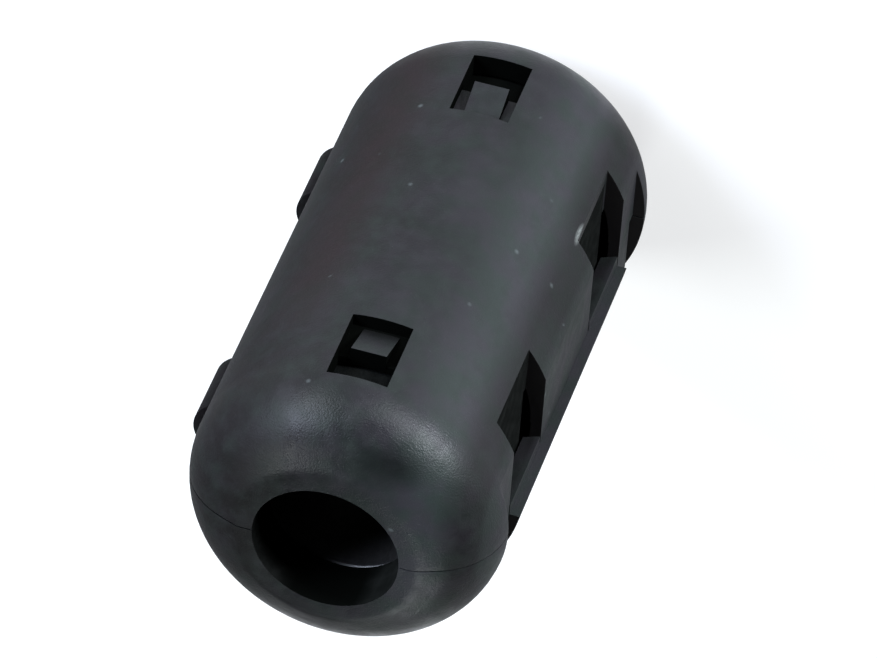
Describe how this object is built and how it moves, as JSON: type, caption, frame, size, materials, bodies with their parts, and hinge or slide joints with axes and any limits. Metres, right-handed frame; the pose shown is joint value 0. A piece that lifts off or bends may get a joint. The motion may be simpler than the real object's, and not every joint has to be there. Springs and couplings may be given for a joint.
{
  "type": "clip-on ferrite bead",
  "caption": "Split ferrite bead in a snap-shut plastic barrel that hinges open and latches around a cable to damp interference.",
  "frame": {"origin": "centre of the cable hole at the lower end face, where the part stands", "axes": "+Z along the cable hole from the lower end to the upper end, +X towards the hinge straps, -X towards the latches, -Y towards the lid"},
  "size_m": [0.0202, 0.0196, 0.039],
  "materials": {
    "case": "satin black moulded nylon",
    "ferrite": "ground dark grey ferrite ceramic"
  },
  "bodies": {
    "base": {"base_shell": "case", "base_core": "ferrite", "hinge_strap_lower": "case", "hinge_strap_upper": "case"},
    "lid": {"lid_shell": "case", "lid_core": "ferrite", "latch_spring_lower": "case", "latch_spring_upper": "case"}
  },
  "joints": [
    {"name": "lid_hinge", "type": "hinge", "parent": "base", "child": "lid", "pos_m": [0.0103, 0, 0.0195], "axis": [0, 0, 1], "range_deg": [0, 170], "deforming": ["hinge_strap_lower", "hinge_strap_upper", "latch_spring_lower", "latch_spring_upper"]}
  ]
}
